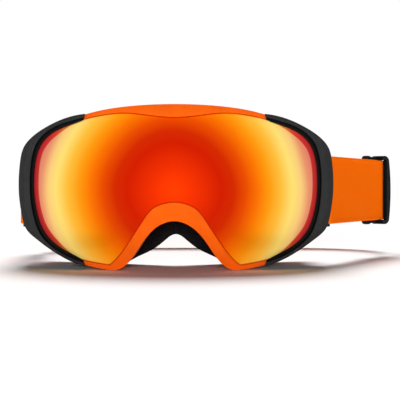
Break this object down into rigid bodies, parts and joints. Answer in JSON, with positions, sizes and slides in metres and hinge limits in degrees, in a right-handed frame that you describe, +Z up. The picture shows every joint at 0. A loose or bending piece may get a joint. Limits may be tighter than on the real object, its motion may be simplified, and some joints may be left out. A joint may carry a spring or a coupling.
{
  "type": "ski goggles",
  "caption": "Ski goggles with a curved mirrored double lens, flexible frame with nose arch, foam face seal, hinged strap arms and an elastic strap with sliding adjusters.",
  "frame": {"origin": "on the mid plane, level with the strap's centreline, in the temple plane of the lens, as the centre of the face seal", "axes": "the goggles look along -Y, the wearer's face is on the +Y side, +X is the right side as seen from the front, +Z is up"},
  "size_m": [0.2479, 0.2162, 0.0911],
  "materials": {
    "lens_mirror": "mirror coated polycarbonate",
    "lens_clear": "clear anti-fog",
    "gasket_foam": "closed-cell foam",
    "frame_orange": "satin flexible polyurethane",
    "vent_foam": "open-cell foam",
    "face_foam": "open-cell foam",
    "fleece": "brushed fleece",
    "clamp_grey": "satin moulded",
    "liner_black": "smooth",
    "steel": "plain",
    "hardware_black": "satin moulded",
    "strap_orange": "woven elastic"
  },
  "bodies": {
    "root": {"outer_lens": "lens_mirror", "inner_lens": "lens_clear", "lens_gasket": "gasket_foam", "frame": "frame_orange", "vent_foam_top": "vent_foam", "vent_foam_lower_left": "vent_foam", "vent_foam_lower_right": "vent_foam", "foam_carrier": "hardware_black", "face_foam_base": "face_foam", "face_foam_mid": "face_foam", "face_fleece": "fleece", "left_side_clamp": "clamp_grey", "right_side_clamp": "clamp_grey", "left_clamp_liner": "liner_black", "right_clamp_liner": "liner_black", "clamp_screws": "steel", "left_hinge_pin": "steel", "right_hinge_pin": "steel", "strap_left_front": "strap_orange", "strap_right_front": "strap_orange", "strap_left_return": "strap_orange", "strap_right_return": "strap_orange", "strap_right_bend": "strap_orange", "strap_right_corner": "strap_orange", "strap_back": "strap_orange", "strap_left_corner": "strap_orange", "strap_left_bend": "strap_orange"},
    "left_arm": {"left_strap_arm": "hardware_black"},
    "right_arm": {"right_strap_arm": "hardware_black"},
    "left_adjuster": {"left_adjuster": "hardware_black", "left_strap_end": "strap_orange"},
    "right_adjuster": {"right_adjuster": "hardware_black", "right_strap_end": "strap_orange"}
  },
  "joints": [
    {"name": "left_arm_hinge", "type": "hinge", "parent": "root", "child": "left_arm", "pos_m": [-0.08675, 0.0066, 0], "axis": [0, 0, 1], "range_deg": [-12, 25]},
    {"name": "right_arm_hinge", "type": "hinge", "parent": "root", "child": "right_arm", "pos_m": [0.08675, 0.0066, 0], "axis": [0, 0, -1], "range_deg": [-12, 25]},
    {"name": "left_adjuster_slide", "type": "slide", "parent": "root", "child": "left_adjuster", "axis": [0.0523, -0.9986, 0], "range_m": [0, 0.025]},
    {"name": "right_adjuster_slide", "type": "slide", "parent": "root", "child": "right_adjuster", "axis": [-0.515, -0.8572, 0], "range_m": [0, 0.025]}
  ]
}
